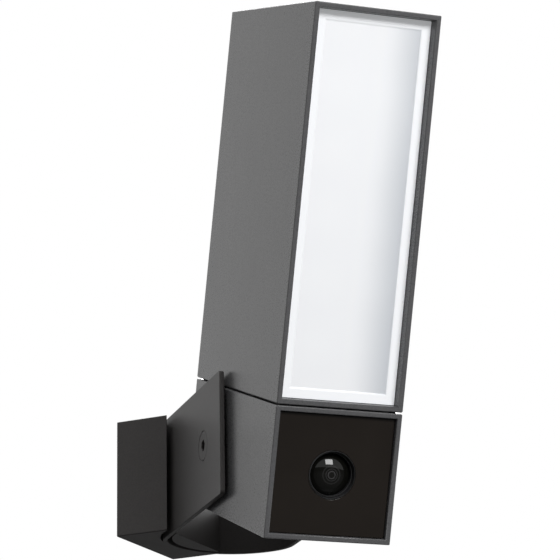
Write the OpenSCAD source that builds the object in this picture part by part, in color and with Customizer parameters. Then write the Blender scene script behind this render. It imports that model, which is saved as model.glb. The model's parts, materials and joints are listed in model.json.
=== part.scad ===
// Floodlight security camera on a wall base.
// A tall lamp module sits on a camera module. A U-shaped bracket carries both and turns in the base.
// Origin: centre of the wall base's rear face. X to the right, -Y out of the wall, +Z up.

/* [Head] */
// Width of both modules
head_w = 50; // [44:1:60]
// Depth of both modules, front rim to rear wall
head_d = 110; // [100:1:132]
// Height of the lamp module and the camera module together
head_h = 200; // [165:1:240]
// Height of the camera module up to the middle of the seam
camera_h = 50; // [49:0.5:60]
// Height of the seam between the modules
seam_gap = 0.5; // [0.3:0.1:1.6]
// How far the seam's filling lies behind the side faces
seam_depth = 2.2; // [1.5:0.1:4]
// Wall thickness of the cast casings
casing_wall = 2; // [1.6:0.1:2.6]
// Radius on the casings' long edges
casing_edge_r = 0.5; // [0.2:0.1:1]
// Radius on the long edges beside the seam
seam_edge_r = 0.7; // [0.2:0.1:1.4]

/* [Lamp front] */
// Depth of the diffuser's face behind the rim
diffuser_recess = 4.5; // [2:0.5:8]
// Thickness of the diffuser
diffuser_t = 2.5; // [1.5:0.1:4]
// Depth of the reflector tray
tray_d = 18; // [12:1:24]
// Columns of lamp diodes
led_columns = 2; // [1:1:3]
// Rows of lamp diodes
led_rows = 6; // [3:1:8]
// Side of a lamp diode
led_side = 5; // [3:0.5:6]

/* [Camera front] */
// Depth of the glass's face behind the rim
glass_recess = 1.8; // [1:0.1:3]
// Thickness of the glass
glass_t = 1.8; // [1:0.1:3]
// Diameter of the round lens opening in the glass
lens_opening_d = 18.5; // [18.5:0.5:22]
// Diameter of the front lens element
lens_d = 16; // [10:0.5:16]
// Travel of the infrared filter
filter_travel = 6; // [5.5:0.1:6.5]

/* [Bracket] */
// Height of the bracket's strip
strip_h = 50; // [44:1:60]
// Thickness of the strip
strip_t = 2; // [1.6:0.1:2.4]
// Gap between a module's side and an arm
arm_gap = 1.3; // [1:0.1:1.6]
// Reach of the arms in front of the pan axis
arm_reach = 72; // [66:1:84]
// How much wider than the arms the strip's round end is, on the radius about the pan axis
back_bulge = 2.3; // [1.7:0.1:2.9]
// Half angle of that round end
back_half_angle = 55; // [48:1:58]
// Radius of the corners at the arms' ends
arm_corner_r = 1.5; // [0.5:0.5:4]
// Distance of the tilt axis in front of the pan axis
hinge_reach = 48.7; // [45:0.1:58]
// Distance of the tilt axis behind the modules' front rim
hinge_from_front = 80.5; // [78:0.5:92]
// Height of the tilt axis above the camera module's underside
hinge_above_floor = 25; // [24:0.5:30]
// Diameter of the pivot screws' flush heads
pivot_d = 12; // [10:0.5:14]
// Width across the flats of the pivot screws' sockets
pivot_socket = 4; // [3:0.5:5]

/* [Wall base] */
// Width of the base
base_w = 50; // [49:1:60]
// Height of the base
base_h = 49; // [44:1:60]
// Depth of the base
base_d = 23.3; // [21:0.1:24]
// Depth left between the wall and the round seat of the bracket
seat_wall = 11.1; // [10.5:0.1:12]
// How far the clamp core stands out of the base's front
core_proud = 1.4; // [0.5:0.1:2]
// Radius of the cable passage
cable_r = 2.9; // [2.5:0.1:3]
// Spacing of the two wall screws
wall_hole_spacing = 34; // [30:1:36]
// Radius of the wall screw holes
wall_hole_r = 2.25; // [1.5:0.05:2.75]

/* [Positions] */
// Pan angle of the bracket as stored
pan_at_rest = -46; // [-50:1:50]
// Largest pan angle to either side
pan_limit = 50; // [40:1:50]
// Tilt angle of the head as stored, front face turned down
tilt_at_rest = 21; // [-10:1:50]

/* [Clearances] */
// Gap between pieces that move past each other
move_gap = 0.3; // [0.3:0.05:0.5]
// Radial gap of a pivot in its hole
pivot_gap = 0.06; // [0.02:0.01:0.1]
// Radial gap of a screw or a bush in its hole
screw_gap = 0.1; // [0.05:0.05:0.3]
// Gap around plates that drop into a casing
fit_gap = 0.2; // [0.1:0.05:0.4]

/* [Hidden] */
$fn = 64;
eps = 0.01;

// Colours
graphite = [0.33, 0.33, 0.35];
dark = [0.16, 0.16, 0.17];
black = [0.05, 0.05, 0.05];
board_green = [0.05, 0.28, 0.16];
steel = [0.62, 0.62, 0.64];
brass = [0.72, 0.57, 0.28];
white = [0.95, 0.95, 0.94];

// Head, in its own frame: the tilt axis is the X axis, the front looks along -Y
front = -hinge_from_front;
floor_z = -hinge_above_floor;
camera_top = floor_z + camera_h - seam_gap / 2;
lamp_floor = camera_top + seam_gap;
lamp_top = floor_z + head_h;
inner_w = head_w - 2 * casing_wall;
ledge_w = 3;
ledge_t = 2;
gasket_t = 1;

// Camera module, depths behind the front rim
camera_mid = (floor_z + camera_top) / 2;
camera_inner_h = camera_top - floor_z - 2 * casing_wall;
glass_back = glass_recess + glass_t;
camera_ledge = glass_back + gasket_t;
chassis_front = camera_ledge + ledge_t;
chassis_t = 3;
mount_front = chassis_front + chassis_t;
opening_r = lens_opening_d / 2;
lens_r = lens_d / 2;
lens_z = camera_mid;
bezel_r = opening_r - 0.1;
barrel_head_r = bezel_r - 0.6;
barrel_r = barrel_head_r - 1.2;
barrel_bore_r = 5.5;
lens_rim_depth = glass_recess + 3.4;
lens_sag = 2.9;
lens_seat_t = 1.2;
lens_gap = 0.05;
lens_dome_r = (lens_r * lens_r + lens_sag * lens_sag) / (2 * lens_sag);
mount_side = 26;
barrel_end = mount_front + 9;
filter_t = 1.2;
filter_front = barrel_end + 0.6;
filter_w = 11;
filter_h = 10;
slot_t = filter_t + 2 * move_gap;
sensor_board_front = filter_front + slot_t + 3;
board_t = 1.6;
board_bottom = floor_z + casing_wall + 7;
board_w = inner_w - 6;
main_board_front = sensor_board_front + board_t + 5;
main_board_len = head_d - casing_wall - 22 - main_board_front;
board_screw_x = board_w / 2 - 4;
board_screw_depths = [main_board_front + 4, main_board_front + main_board_len - 4];
hatch_w = 30;
hatch_d = 20;
hatch_t = 1.6;
hatch_depth = main_board_front + main_board_len / 2 + 12;
hatch_screw_x = hatch_w / 2 - 2.6;
hatch_step = 5;
gland_z = floor_z + casing_wall + 12;
gland_r = cable_r + 2.6;
insert_r = 5;
insert_len = 6;
pivot_thread_r = 2.5;
pivot_r = pivot_d / 2;
join_x = inner_w / 2 - 6;
join_depths = [22, head_d - 16];
join_boss_h = 10;
wire_hole = [22, 12];
wire_hole_depth = head_d * 0.55;

// Lamp module, depths behind the front rim
lamp_mid = (lamp_floor + lamp_top) / 2;
lamp_h = lamp_top - lamp_floor;
lamp_inner_h = lamp_h - 2 * casing_wall;
diffuser_back = diffuser_recess + diffuser_t;
lamp_ledge = diffuser_back + gasket_t;
tray_front = lamp_ledge + ledge_t;
tray_wall = 1.5;
led_board_front = tray_front + tray_d;
spreader_front = led_board_front + board_t;
spreader_t = 4;
flange_d = 10;
post_len = 8;
driver_board_front = spreader_front + spreader_t + post_len;
driver_w = 34;
driver_h = lamp_inner_h * 0.62;
cover_d = 30;

// Bracket, in its own frame: the pan axis is the Z axis, the arms point along -Y
arm_in = head_w / 2 + arm_gap;
arm_out = arm_in + strip_t;
back_r = arm_out + back_bulge;
back_corner_r = (arm_out - back_r * sin(back_half_angle)) / (1 - sin(back_half_angle));
back_corner = [(back_r - back_corner_r) * sin(back_half_angle),
               (back_r - back_corner_r) * cos(back_half_angle)];

// Wall base
slot_r = back_r + move_gap;
pan_axis_out = seat_wall + slot_r;
core_r = arm_in - move_gap;
pad_w = 5;
core_front = base_d + core_proud;
plate_t = 3;
wall_gasket_t = 1;
shell_wall = 3;
seat_floor_t = 2.8;
pocket_d = seat_wall - seat_floor_t;
tongue_w = 22;
tongue_h = 11;
clamp_screw_x = 7.9;
clamp_screw_r = 1.5;
clamp_head_r = 2.9;
grommet_r = cable_r + 1;
window_h = tongue_h + 1;
window_half_angle = pan_limit + asin((tongue_w / 2 + move_gap) / (back_r - strip_t)) + 0.5;

// ---- helpers ----

// Places a piece given in the bracket's own frame
module on_bracket() { translate([0, -pan_axis_out, 0]) rotate([0, 0, pan_at_rest]) children(); }

// Places a piece given in the head's own frame
module on_head() { on_bracket() translate([0, -hinge_reach, 0]) rotate([tilt_at_rest, 0, 0]) children(); }

// Extrudes an outline in X and Z over depths behind the front rim
module from_front(near, far) {
  translate([0, front + far, 0]) rotate([90, 0, 0]) linear_extrude(far - near) children();
}

// Extrudes an outline in X and Z from one Y to another
module along_y(y0, y1) { translate([0, y1, 0]) rotate([90, 0, 0]) linear_extrude(y1 - y0) children(); }

// Turns an outline (radius, depth behind the front rim) about the lens axis
module about_lens() { translate([0, front, lens_z]) rotate([-90, 0, 0]) rotate_extrude() children(); }

// Rectangle with true round corners
module rounded_rect(w, h, r) {
  square([w - 2 * r, h], center = true);
  square([w, h - 2 * r], center = true);
  for (x = [-1, 1], y = [-1, 1]) translate([x * (w / 2 - r), y * (h / 2 - r)]) circle(r);
}

// Outline of a casing, rounder at the corners on the side of the seam, +1 for the top and -1 below
module casing_outline(h, seam_side) {
  r = seam_edge_r;
  difference() {
    rounded_rect(head_w, h, casing_edge_r);
    for (x = [-1, 1]) translate([x * (head_w / 2 - r), seam_side * (h / 2 - r)]) difference() {
      translate([x * r, seam_side * r]) square(2 * r, center = true);
      circle(r);
    }
  }
}

// Rectangular frame
module frame_2d(w, h, rim) {
  difference() {
    square([w, h], center = true);
    square([w - 2 * rim, h - 2 * rim], center = true);
  }
}

// Block given by its middle in X, its depths behind the front rim and its heights
module block(w, near, far, z0, z1) { translate([-w / 2, front + near, z0]) cube([w, far - near, z1 - z0]); }

// Upright rod at a place in X and at a depth
module rod_z(x, depth, r, z0, z1) { translate([x, front + depth, z0]) cylinder(r = r, h = z1 - z0); }

// Rod along the depth at a place in X and Z
module rod_y(x, z, r, near, far) {
  translate([x, front + near, z]) rotate([-90, 0, 0]) cylinder(r = r, h = far - near);
}

// Points of an arc about a centre, angles counted from +Y towards +X
function arc(centre, r, from, to, step = 2.5) =
  [for (i = [0 : round(abs(to - from) / step)])
    let (a = from + (to - from) * i / round(abs(to - from) / step)) centre + r * [sin(a), cos(a)]];

// One side of the strip's U from the middle of its closed end to the arm's front, at an inset
function half_u(inset) = concat(
  arc([0, 0], back_r - inset, 0, back_half_angle),
  arc(back_corner, back_corner_r - inset, back_half_angle, 90),
  [[arm_out - inset, -arm_reach]]);

// ---- wall base ----

// Outline of the flat pieces in the base's rear pocket
module pocket_outline() {
  rim = shell_wall + fit_gap;
  square([base_w - 2 * rim, base_h - 2 * rim], center = true);
}

module wall_gasket() {
  color(black) difference() {
    along_y(-wall_gasket_t, 0) pocket_outline();
    along_y(-wall_gasket_t - 1, 1) circle(grommet_r + 0.3);
    along_y(-wall_gasket_t - 1, 1) for (s = [-1, 1]) translate([s * wall_hole_spacing / 2, 0])
      circle(wall_hole_r);
  }
}

module wall_plate() {
  plate_y = -wall_gasket_t - plate_t;
  color(steel) difference() {
    along_y(plate_y, -wall_gasket_t) pocket_outline();
    along_y(plate_y - 1, 0) circle(grommet_r + screw_gap);
    along_y(plate_y - 1, 0) for (s = [-1, 1]) {
      translate([s * wall_hole_spacing / 2, 0]) circle(wall_hole_r);
      translate([s * clamp_screw_x, 0]) circle(clamp_screw_r + screw_gap);
    }
  }
}

module base_shell() {
  color(dark) difference() {
    along_y(-base_d, 0) rounded_rect(base_w, base_h, casing_edge_r);
    // Full-height seat for the round end of the bracket
    translate([0, -pan_axis_out, -base_h]) cylinder(r = slot_r, h = 2 * base_h, $fn = 128);
    // Pocket for the plate and the wires
    along_y(-pocket_d, 1) square([base_w - 2 * shell_wall, base_h - 2 * shell_wall], center = true);
    along_y(-base_d, 0) circle(grommet_r + screw_gap);
    along_y(-base_d, 0) for (s = [-1, 1]) translate([s * clamp_screw_x, 0])
      circle(clamp_screw_r + screw_gap);
  }
}

module clamp_core() {
  seat_y = -pan_axis_out + slot_r;
  color(dark) difference() {
    union() {
      intersection() {
        translate([0, -pan_axis_out, -strip_h / 2]) cylinder(r = core_r, h = strip_h, $fn = 128);
        translate([-base_w, -core_front, -strip_h / 2]) cube([2 * base_w, core_front, strip_h]);
      }
      // Tongue through the bracket's window down to the base's seat
      intersection() {
        translate([-tongue_w / 2, -core_front, -tongue_h / 2]) cube([tongue_w, core_front, tongue_h]);
        translate([0, -pan_axis_out, -strip_h / 2]) cylinder(r = slot_r, h = strip_h, $fn = 128);
      }
    }
    along_y(-core_front - 1, seat_y + 1) circle(grommet_r + screw_gap);
    for (s = [-1, 1]) translate([s * clamp_screw_x, 0, 0]) {
      along_y(-core_front - 1, seat_y + 1) circle(clamp_screw_r + screw_gap);
      along_y(-core_front - 1, -core_front + 3) circle(clamp_head_r + screw_gap);
    }
  }
}

module core_pad() {
  pad_h = 12;
  color(black) for (s = [-1, 1])
    translate([0, -pan_axis_out, s * (strip_h / 2 - 3 - pad_h / 2) - pad_h / 2])
    intersection() {
      difference() {
        cylinder(r = back_r - strip_t - move_gap, h = pad_h, $fn = 128);
        translate([0, 0, -1]) cylinder(r = core_r, h = pad_h + 2, $fn = 128);
      }
      translate([-pad_w / 2, 0, -1]) cube([pad_w, slot_r, pad_h + 2]);
    }
}

module clamp_screws() {
  color(steel) for (s = [-1, 1]) translate([s * clamp_screw_x, 0, 0]) difference() {
    union() {
      along_y(-core_front + 0.5, -core_front + 3) circle(clamp_head_r);
      along_y(-core_front + 2, -wall_gasket_t - 0.2) circle(clamp_screw_r);
    }
    along_y(-core_front - 1, -core_front + 2) circle(1.4, $fn = 6);
  }
}

module cable_grommet() {
  color(black) difference() {
    along_y(-core_front, -wall_gasket_t) circle(grommet_r);
    along_y(-core_front - 1, 0) circle(cable_r);
  }
}

// ---- bracket ----

module bracket() {
  color(graphite) on_bracket() difference() {
    intersection() {
      translate([0, 0, -strip_h / 2]) linear_extrude(strip_h) strip_outline();
      translate([2 * back_r, 0, 0]) rotate([90, 0, -90]) linear_extrude(4 * back_r) arm_side();
    }
    // Window for the core's tongue
    translate([0, 0, -window_h / 2]) linear_extrude(window_h) polygon([[0, 0],
      for (a = [-window_half_angle : window_half_angle / 2 : window_half_angle])
        2 * back_r * [sin(a), cos(a)]]);
    // Pivot holes
    translate([-2 * back_r, -hinge_reach, 0]) rotate([0, 90, 0])
      cylinder(r = pivot_r + pivot_gap, h = 4 * back_r);
  }
}

// The strip seen from above: a U with a wide round end, tighter bends and straight arms
module strip_outline() {
  outer = half_u(0);
  inner = half_u(strip_t);
  last = len(outer) - 1;
  polygon(concat(
    [for (i = [last : -1 : 1]) [-outer[i][0], outer[i][1]]], outer,
    [for (i = [last : -1 : 0]) inner[i]], [for (i = [1 : last]) [-inner[i][0], inner[i][1]]]));
}

// The bracket seen from its side, with the arms' front corners rounded
module arm_side() {
  r = arm_corner_r;
  translate([-2 * back_r, -strip_h / 2]) square([2 * back_r + arm_reach - r, strip_h]);
  translate([-2 * back_r, -strip_h / 2 + r]) square([2 * back_r + arm_reach, strip_h - 2 * r]);
  for (s = [-1, 1]) translate([arm_reach - r, s * (strip_h / 2 - r)]) circle(r);
}

// ---- tilt pivots ----

module both_sides() { for (s = [0, 1]) mirror([s, 0, 0]) rotate([0, 90, 0]) children(); }

module pivot_screws() {
  color(graphite) on_head() both_sides() difference() {
    union() {
      translate([0, 0, head_w / 2]) cylinder(r = pivot_r, h = arm_gap + strip_t);
      translate([0, 0, head_w / 2 - casing_wall - insert_len + 1])
        cylinder(r = pivot_thread_r, h = casing_wall + insert_len);
    }
    translate([0, 0, head_w / 2 + 0.6]) cylinder(d = pivot_socket / cos(30), h = 10, $fn = 6);
  }
}

module friction_washers() {
  color(black) on_head() both_sides() translate([0, 0, head_w / 2]) difference() {
    cylinder(r = pivot_r + 3, h = arm_gap - move_gap);
    translate([0, 0, -1]) cylinder(r = pivot_r + screw_gap, h = arm_gap + 2);
  }
}

module pivot_inserts() {
  color(brass) on_head() both_sides()
    translate([0, 0, head_w / 2 - casing_wall - insert_len]) difference() {
    cylinder(r = insert_r, h = insert_len);
    translate([0, 0, -1]) cylinder(r = pivot_thread_r + screw_gap, h = insert_len + 2);
  }
}

// ---- camera module ----

module camera_housing() {
  color(graphite) on_head() difference() {
    union() {
      difference() {
        translate([0, 0, camera_mid]) from_front(0, head_d) casing_outline(camera_top - floor_z, 1);
        translate([0, 0, camera_mid]) from_front(-1, head_d - casing_wall)
          square([inner_w, camera_inner_h], center = true);
      }
      // Ledge that the glass rests on
      translate([0, 0, camera_mid]) from_front(camera_ledge, camera_ledge + ledge_t)
        frame_2d(inner_w + eps, camera_inner_h + eps, ledge_w);
      // Bosses for the pivot inserts
      both_sides() translate([0, 0, head_w / 2 - casing_wall - insert_len])
        cylinder(r = insert_r + 2.5, h = insert_len + 1);
      // Posts for the main board
      for (x = [-1, 1], depth = board_screw_depths)
        rod_z(x * board_screw_x, depth, 3, floor_z + 1, board_bottom);
    }
    both_sides() translate([0, 0, head_w / 2 - casing_wall - insert_len - 1])
      cylinder(r = insert_r, h = insert_len + 1);
    both_sides() cylinder(r = pivot_thread_r + screw_gap, h = head_w);
    for (x = [-1, 1], depth = board_screw_depths)
      rod_z(x * board_screw_x, depth, 1 + screw_gap, floor_z + casing_wall, board_bottom + 1);
    // Opening for the card hatch, stepped so that the hatch lies flush
    block(hatch_w - 2 * hatch_step, hatch_depth - hatch_d / 2 + 3, hatch_depth + hatch_d / 2 - 3,
      floor_z - 1, floor_z + 3);
    block(hatch_w + 2 * fit_gap, hatch_depth - hatch_d / 2 - fit_gap, hatch_depth + hatch_d / 2 + fit_gap,
          floor_z - 1, floor_z + hatch_t - 0.6);
    for (x = [-1, 1])
      rod_z(x * hatch_screw_x, hatch_depth, 1 + screw_gap, floor_z - 1, floor_z + casing_wall + 1);
    // Cable gland, wires to the lamp and screws up into the lamp
    rod_y(0, gland_z, gland_r + screw_gap, head_d - casing_wall - 1, head_d + 1);
    block(wire_hole[0], wire_hole_depth - wire_hole[1] / 2, wire_hole_depth + wire_hole[1] / 2,
          camera_top - casing_wall - 1, camera_top + 1);
    for (x = [-1, 1], depth = join_depths)
      rod_z(x * join_x, depth, 1.5 + screw_gap, camera_top - casing_wall - 1, camera_top + 1);
    // Hole for sound beside the hatch
    rod_z(0, hatch_depth - hatch_d / 2 - 8, 0.8, floor_z - 1, floor_z + casing_wall + 1);
  }
}

module front_glass() {
  color(black) on_head() difference() {
    translate([0, 0, camera_mid]) from_front(glass_recess, glass_back)
      square([inner_w - 2 * fit_gap, camera_inner_h - 2 * fit_gap], center = true);
    rod_y(0, lens_z, opening_r, glass_recess - 1, glass_back + 1);
  }
}

module glass_gasket() {
  color(dark) on_head() translate([0, 0, camera_mid]) from_front(glass_back, camera_ledge)
    frame_2d(inner_w - 2 * fit_gap, camera_inner_h - 2 * fit_gap, ledge_w - 0.5);
}

module lens_bezel() {
  far = chassis_front + 1;
  color(black) on_head() about_lens() polygon([[bezel_r, glass_recess], [bezel_r, chassis_front - 0.4],
    [bezel_r + 1.6, chassis_front - 0.4], [bezel_r + 1.6, chassis_front],
    [bezel_r, chassis_front], [bezel_r, far], [barrel_head_r + 0.15, far], [barrel_head_r + 0.15,
      glass_recess + 1.6],
    [bezel_r - 0.2, glass_recess]]);
}

module lens_barrel() {
  head_end = chassis_front + 0.8;
  seat = lens_rim_depth + lens_seat_t;
  color(black) on_head() about_lens() polygon([
    [lens_r + 0.3, lens_rim_depth - 1.6], [barrel_head_r, lens_rim_depth - 0.8],
    [barrel_head_r, head_end], [barrel_r, head_end], [barrel_r, barrel_end],
    [barrel_bore_r, barrel_end], [barrel_bore_r, seat], [lens_r + lens_gap, seat],
    [lens_r + lens_gap, lens_rim_depth - 1.2]]);
}

module lens_front_element() {
  color([0.1, 0.12, 0.2]) on_head() intersection() {
    translate([0, front + lens_rim_depth - lens_sag + lens_dome_r, lens_z]) rotate([90, 0, 0])
      sphere(r = lens_dome_r, $fn = 96);
    rod_y(0, lens_z, lens_r, lens_rim_depth - lens_sag - 1, lens_rim_depth + lens_seat_t);
  }
}

module lens_rear_element() {
  color([0.5, 0.6, 0.7]) on_head() rod_y(0, lens_z, barrel_bore_r - lens_gap, barrel_end - 3.5, barrel_end - 1);
}

module lens_mount() {
  far = sensor_board_front;
  slot_end = filter_w / 2 + filter_travel + move_gap;
  slot_w = slot_end + mount_side / 2 + 1;
  color(black) on_head() difference() {
    translate([0, 0, lens_z]) from_front(mount_front, far) square(mount_side, center = true);
    rod_y(0, lens_z, barrel_r + 0.05, mount_front - 1, barrel_end);
    rod_y(0, lens_z, filter_h / 2 - 1, barrel_end - 1, filter_front + slot_t + 1);
    // Guide slot for the filter, open at one side and closed where the travel ends
    translate([slot_end - slot_w / 2, 0, 0])
      block(slot_w, filter_front - move_gap, filter_front + filter_t + move_gap,
            lens_z - filter_h / 2 - move_gap, lens_z + filter_h / 2 + move_gap);
    // Room for the image sensor
    block(12, filter_front + slot_t - 1, far + 1, lens_z - 5, lens_z + 5);
  }
}

module ir_filter_frame() {
  color(steel) on_head() difference() {
    block(filter_w, filter_front, filter_front + filter_t, lens_z - filter_h / 2, lens_z + filter_h / 2);
    block(filter_w - 4, filter_front - 1, filter_front + 0.6, lens_z - filter_h / 2 + 1.5,
      lens_z + filter_h / 2 - 1.5);
    rod_y(0, lens_z, 3, filter_front, filter_front + filter_t + 1);
  }
}

module ir_filter_glass() {
  color([0.8, 0.3, 0.4]) on_head()
    block(filter_w - 4.2, filter_front + 0.1, filter_front + 0.6, lens_z - filter_h / 2 + 1.6,
      lens_z + filter_h / 2 - 1.6);
}

module filter_motor() {
  color(brass) on_head()
    block(10, mount_front + 2, mount_front + 10, lens_z + mount_side / 2, lens_z + mount_side / 2 + 6);
}

module sensor_board() {
  color(board_green) on_head() translate([0, 0, lens_z])
    from_front(sensor_board_front, sensor_board_front + board_t)
    square(mount_side + 4, center = true);
}

module image_sensor() {
  color([0.3, 0.3, 0.4]) on_head()
    block(9, sensor_board_front - 1.2, sensor_board_front, lens_z - 3.5, lens_z + 3.5);
}

module ir_led_board() {
  rim_gap = 1;
  color(board_green) on_head() difference() {
    translate([0, 0, camera_mid]) from_front(chassis_front - 1, chassis_front)
      square([inner_w - 2 * (ledge_w + rim_gap), camera_inner_h - 2 * (ledge_w + rim_gap)], center = true);
    rod_y(0, lens_z, bezel_r + 2.4, 0, chassis_front + 1);
  }
}

module ir_leds() {
  color(dark) on_head() for (x = [-1, 1], z = [-1, 1])
    translate([x * 13, 0, lens_z + z * 13]) from_front(chassis_front - 2, chassis_front - 1)
      square(3.5, center = true);
}

module front_chassis() {
  color(dark) on_head() difference() {
    translate([0, 0, camera_mid]) from_front(chassis_front, mount_front)
      square([inner_w - 2 * fit_gap, camera_inner_h - 2 * fit_gap], center = true);
    rod_y(0, lens_z, bezel_r + screw_gap, chassis_front - 1, mount_front + 1);
    for (x = [-1, 1], z = [-1, 1])
      rod_y(x * 9.5, lens_z + z * 10.5, 0.9 + screw_gap, chassis_front + 1, mount_front + 1);
  }
}

module chassis_screws() {
  color(steel) on_head() for (x = [-1, 1], z = [-1, 1]) {
    rod_y(x * (mount_side / 2 + 3.5), lens_z + z * 8, 1.6, mount_front, mount_front + 1.4);
  }
}

module main_board() {
  color(board_green) on_head() difference() {
    block(board_w, main_board_front, main_board_front + main_board_len, board_bottom,
      board_bottom + board_t);
    for (x = [-1, 1], depth = board_screw_depths)
      rod_z(x * board_screw_x, depth, 1 + screw_gap, board_bottom - 1, board_bottom + board_t + 1);
  }
}

module board_screws() {
  color(steel) on_head() for (x = [-1, 1], depth = board_screw_depths) {
    rod_z(x * board_screw_x, depth, 1, board_bottom - 4, board_bottom + board_t + eps);
    rod_z(x * board_screw_x, depth, 2, board_bottom + board_t, board_bottom + board_t + 1.4);
  }
}

module processor() {
  color(black) on_head()
    block(14, main_board_front + 8, main_board_front + 22, board_bottom + board_t,
    board_bottom + board_t + 1.6);
}

module heat_sink() {
  base_z = board_bottom + board_t + 1.6;
  color(steel) on_head() {
    block(14, main_board_front + 8, main_board_front + 22, base_z, base_z + 1.5);
    for (i = [0 : 4])
      block(14, main_board_front + 8 + i * 3.2, main_board_front + 9.2 + i * 3.2, base_z + 1, base_z + 7);
  }
}

module wifi_antenna() {
  color(white) on_head() translate([board_w / 2 - 7, 0, 0])
    block(3, main_board_front + 10, main_board_front + 30, board_bottom + board_t,
      board_bottom + board_t + 5);
}

module microphone() {
  color(brass) on_head() difference() {
    rod_z(0, hatch_depth - hatch_d / 2 - 8, 2.2, floor_z + casing_wall, floor_z + casing_wall + 2);
    rod_z(0, hatch_depth - hatch_d / 2 - 8, 0.6, floor_z, floor_z + casing_wall + 1);
  }
}

module card_socket() {
  color(steel) on_head() difference() {
    block(15, hatch_depth - 6, hatch_depth + 6, board_bottom - 3, board_bottom);
    block(11.4, hatch_depth - 7, hatch_depth + 4, board_bottom - 2.2, board_bottom - 1);
  }
}

module memory_card() {
  color(black) on_head()
    block(11, hatch_depth - 8, hatch_depth + 4, board_bottom - 2.1, board_bottom - 1.1);
}

module hatch_seal() {
  top = floor_z + hatch_t - 0.6;
  color(black) on_head() difference() {
    block(hatch_w - 2 * hatch_step - 0.4, hatch_depth - hatch_d / 2 + 3.2,
      hatch_depth + hatch_d / 2 - 3.2, top - 0.6, top + 0.9);
    block(hatch_w - 2 * hatch_step - 2.4, hatch_depth - hatch_d / 2 + 4.2,
      hatch_depth + hatch_d / 2 - 4.2, top - 2, top + 2);
  }
}

module card_hatch() {
  top = floor_z + hatch_t - 0.6;
  color(graphite) on_head() difference() {
    block(hatch_w, hatch_depth - hatch_d / 2, hatch_depth + hatch_d / 2, floor_z, top);
    block(hatch_w - 2 * hatch_step - 0.4, hatch_depth - hatch_d / 2 + 3.2,
      hatch_depth + hatch_d / 2 - 3.2, top - 0.6, top + 1);
    for (x = [-1, 1]) rod_z(x * hatch_screw_x, hatch_depth, 1 + screw_gap, floor_z - 1, top + 1);
  }
}

module hatch_screws() {
  color(steel) on_head() for (x = [-1, 1]) {
    rod_z(x * hatch_screw_x, hatch_depth, 1, floor_z - eps, floor_z + casing_wall + 2);
    rod_z(x * hatch_screw_x, hatch_depth, 2, floor_z - 1, floor_z);
  }
}

module cable_gland() {
  color(black) on_head() difference() {
    union() {
      rod_y(0, gland_z, gland_r, head_d - casing_wall - 6, head_d + 1);
      rod_y(0, gland_z, gland_r + 1.4, head_d, head_d + 5);
    }
    rod_y(0, gland_z, cable_r, head_d - casing_wall - 8, head_d + 7);
  }
}

module gland_nut() {
  color(brass) on_head() difference() {
    translate([0, 0, gland_z]) from_front(head_d - casing_wall - 3, head_d - casing_wall)
      circle(gland_r + 2.6, $fn = 6);
    rod_y(0, gland_z, gland_r + 0.05, head_d - casing_wall - 5, head_d);
  }
}

module terminal_block() {
  near = head_d - casing_wall - 18;
  color(white) on_head() difference() {
    block(24, near, near + 9, floor_z + casing_wall, floor_z + casing_wall + 11);
    for (i = [-1 : 1]) rod_z(i * 7, near + 4.5, 1.8, floor_z + casing_wall + 5, floor_z + casing_wall + 12);
  }
}

// ---- joint between the modules ----

module module_seal() {
  color(black) on_head() difference() {
    translate([0, front + head_d / 2, camera_top]) linear_extrude(seam_gap)
      square([head_w - 2 * seam_depth, head_d - 2 * seam_depth], center = true);
    block(wire_hole[0], wire_hole_depth - wire_hole[1] / 2, wire_hole_depth + wire_hole[1] / 2,
          camera_top - 1, lamp_floor + 1);
    for (x = [-1, 1], depth = join_depths)
      rod_z(x * join_x, depth, 1.5 + screw_gap, camera_top - 1, lamp_floor + 1);
  }
}

module joining_screws() {
  color(steel) on_head() for (x = [-1, 1], depth = join_depths) {
    rod_z(x * join_x, depth, 1.5, camera_top - casing_wall - eps,
      lamp_floor + casing_wall + join_boss_h - 2);
    rod_z(x * join_x, depth, 2.8, camera_top - casing_wall - 2, camera_top - casing_wall);
  }
}

// ---- lamp module ----

module lamp_housing() {
  color(graphite) on_head() difference() {
    union() {
      difference() {
        translate([0, 0, lamp_mid]) from_front(0, head_d) casing_outline(lamp_h, -1);
        translate([0, 0, lamp_mid]) from_front(-1, head_d - casing_wall)
          square([inner_w, lamp_inner_h], center = true);
      }
      // Ledge that the diffuser rests on
      translate([0, 0, lamp_mid]) from_front(lamp_ledge, lamp_ledge + ledge_t)
        frame_2d(inner_w + eps, lamp_inner_h + eps, ledge_w);
      // Bosses for the screws from the camera module
      for (x = [-1, 1], depth = [join_depths[1]])
        rod_z(x * join_x, depth, 4, lamp_floor + 1, lamp_floor + casing_wall + join_boss_h);
    }
    for (x = [-1, 1], depth = join_depths)
      rod_z(x * join_x, depth, 1.5 + screw_gap, lamp_floor - 1, lamp_floor + casing_wall + join_boss_h - 1);
    block(wire_hole[0], wire_hole_depth - wire_hole[1] / 2, wire_hole_depth + wire_hole[1] / 2,
          lamp_floor - 1, lamp_floor + casing_wall + 1);
  }
}

module diffuser() {
  color(white) on_head() translate([0, 0, lamp_mid]) from_front(diffuser_recess, diffuser_back)
    square([inner_w - 2 * fit_gap, lamp_inner_h - 2 * fit_gap], center = true);
}

module diffuser_gasket() {
  color(dark) on_head() translate([0, 0, lamp_mid]) from_front(diffuser_back, lamp_ledge)
    frame_2d(inner_w - 2 * fit_gap, lamp_inner_h - 2 * fit_gap, ledge_w - 0.5);
}

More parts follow.
